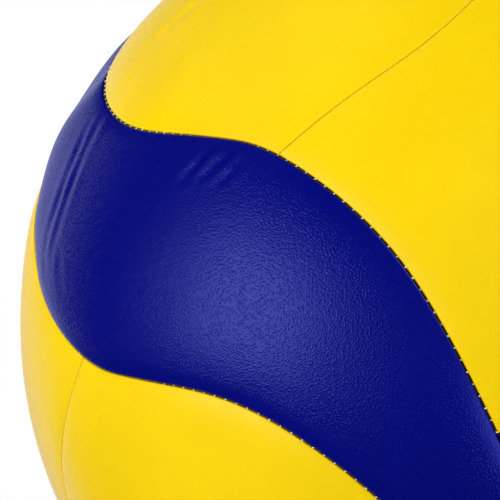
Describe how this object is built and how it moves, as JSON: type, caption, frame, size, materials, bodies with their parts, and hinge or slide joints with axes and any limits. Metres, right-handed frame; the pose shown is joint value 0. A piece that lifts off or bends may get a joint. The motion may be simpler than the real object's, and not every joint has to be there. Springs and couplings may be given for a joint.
{
  "type": "volleyball",
  "caption": "Indoor volleyball: stitched blue wave-shaped and yellow cover panels with cloth backings over a rubber bladder, with a pull-out valve plug that takes an inflating needle.",
  "frame": {"origin": "middle of the ball", "axes": "+Z out through the valve, -Y towards the picture's camera"},
  "size_m": [0.21, 0.21, 0.2099],
  "materials": {
    "blue_cover": "fine-grained synthetic leather, satin",
    "yellow_cover": "fine-grained synthetic leather, satin",
    "textile": "woven cloth backing and stitching thread",
    "bladder_rubber": "smooth butyl rubber",
    "valve_rubber": "moulded matt rubber"
  },
  "bodies": {
    "ball": {"blue_panel_1": "blue_cover", "blue_backing_1": "textile", "blue_panel_2": "blue_cover", "blue_backing_2": "textile", "blue_panel_3": "blue_cover", "blue_backing_3": "textile", "blue_panel_4": "blue_cover", "blue_backing_4": "textile", "blue_panel_5": "blue_cover", "blue_backing_5": "textile", "blue_panel_6": "blue_cover", "blue_backing_6": "textile", "yellow_panel_1": "yellow_cover", "yellow_backing_1": "textile", "yellow_panel_2": "yellow_cover", "yellow_backing_2": "textile", "yellow_panel_3": "yellow_cover", "yellow_backing_3": "textile", "yellow_panel_4": "yellow_cover", "yellow_backing_4": "textile", "yellow_panel_5": "yellow_cover", "yellow_backing_5": "textile", "yellow_panel_6": "yellow_cover", "yellow_backing_6": "textile", "yellow_panel_7": "yellow_cover", "yellow_backing_7": "textile", "yellow_panel_8": "yellow_cover", "yellow_backing_8": "textile", "yellow_panel_9": "yellow_cover", "yellow_backing_9": "textile", "yellow_panel_10": "yellow_cover", "yellow_backing_10": "textile", "yellow_panel_11": "yellow_cover", "yellow_backing_11": "textile", "yellow_panel_12": "yellow_cover", "yellow_backing_12": "textile", "bladder": "bladder_rubber", "valve_patch": "bladder_rubber", "valve_housing": "valve_rubber"},
    "plug": {"valve_plug": "valve_rubber"}
  },
  "joints": [
    {"name": "plug_slide", "type": "slide", "parent": "ball", "child": "plug", "axis": [0, 0, 1], "range_m": [0, 0.022]}
  ]
}
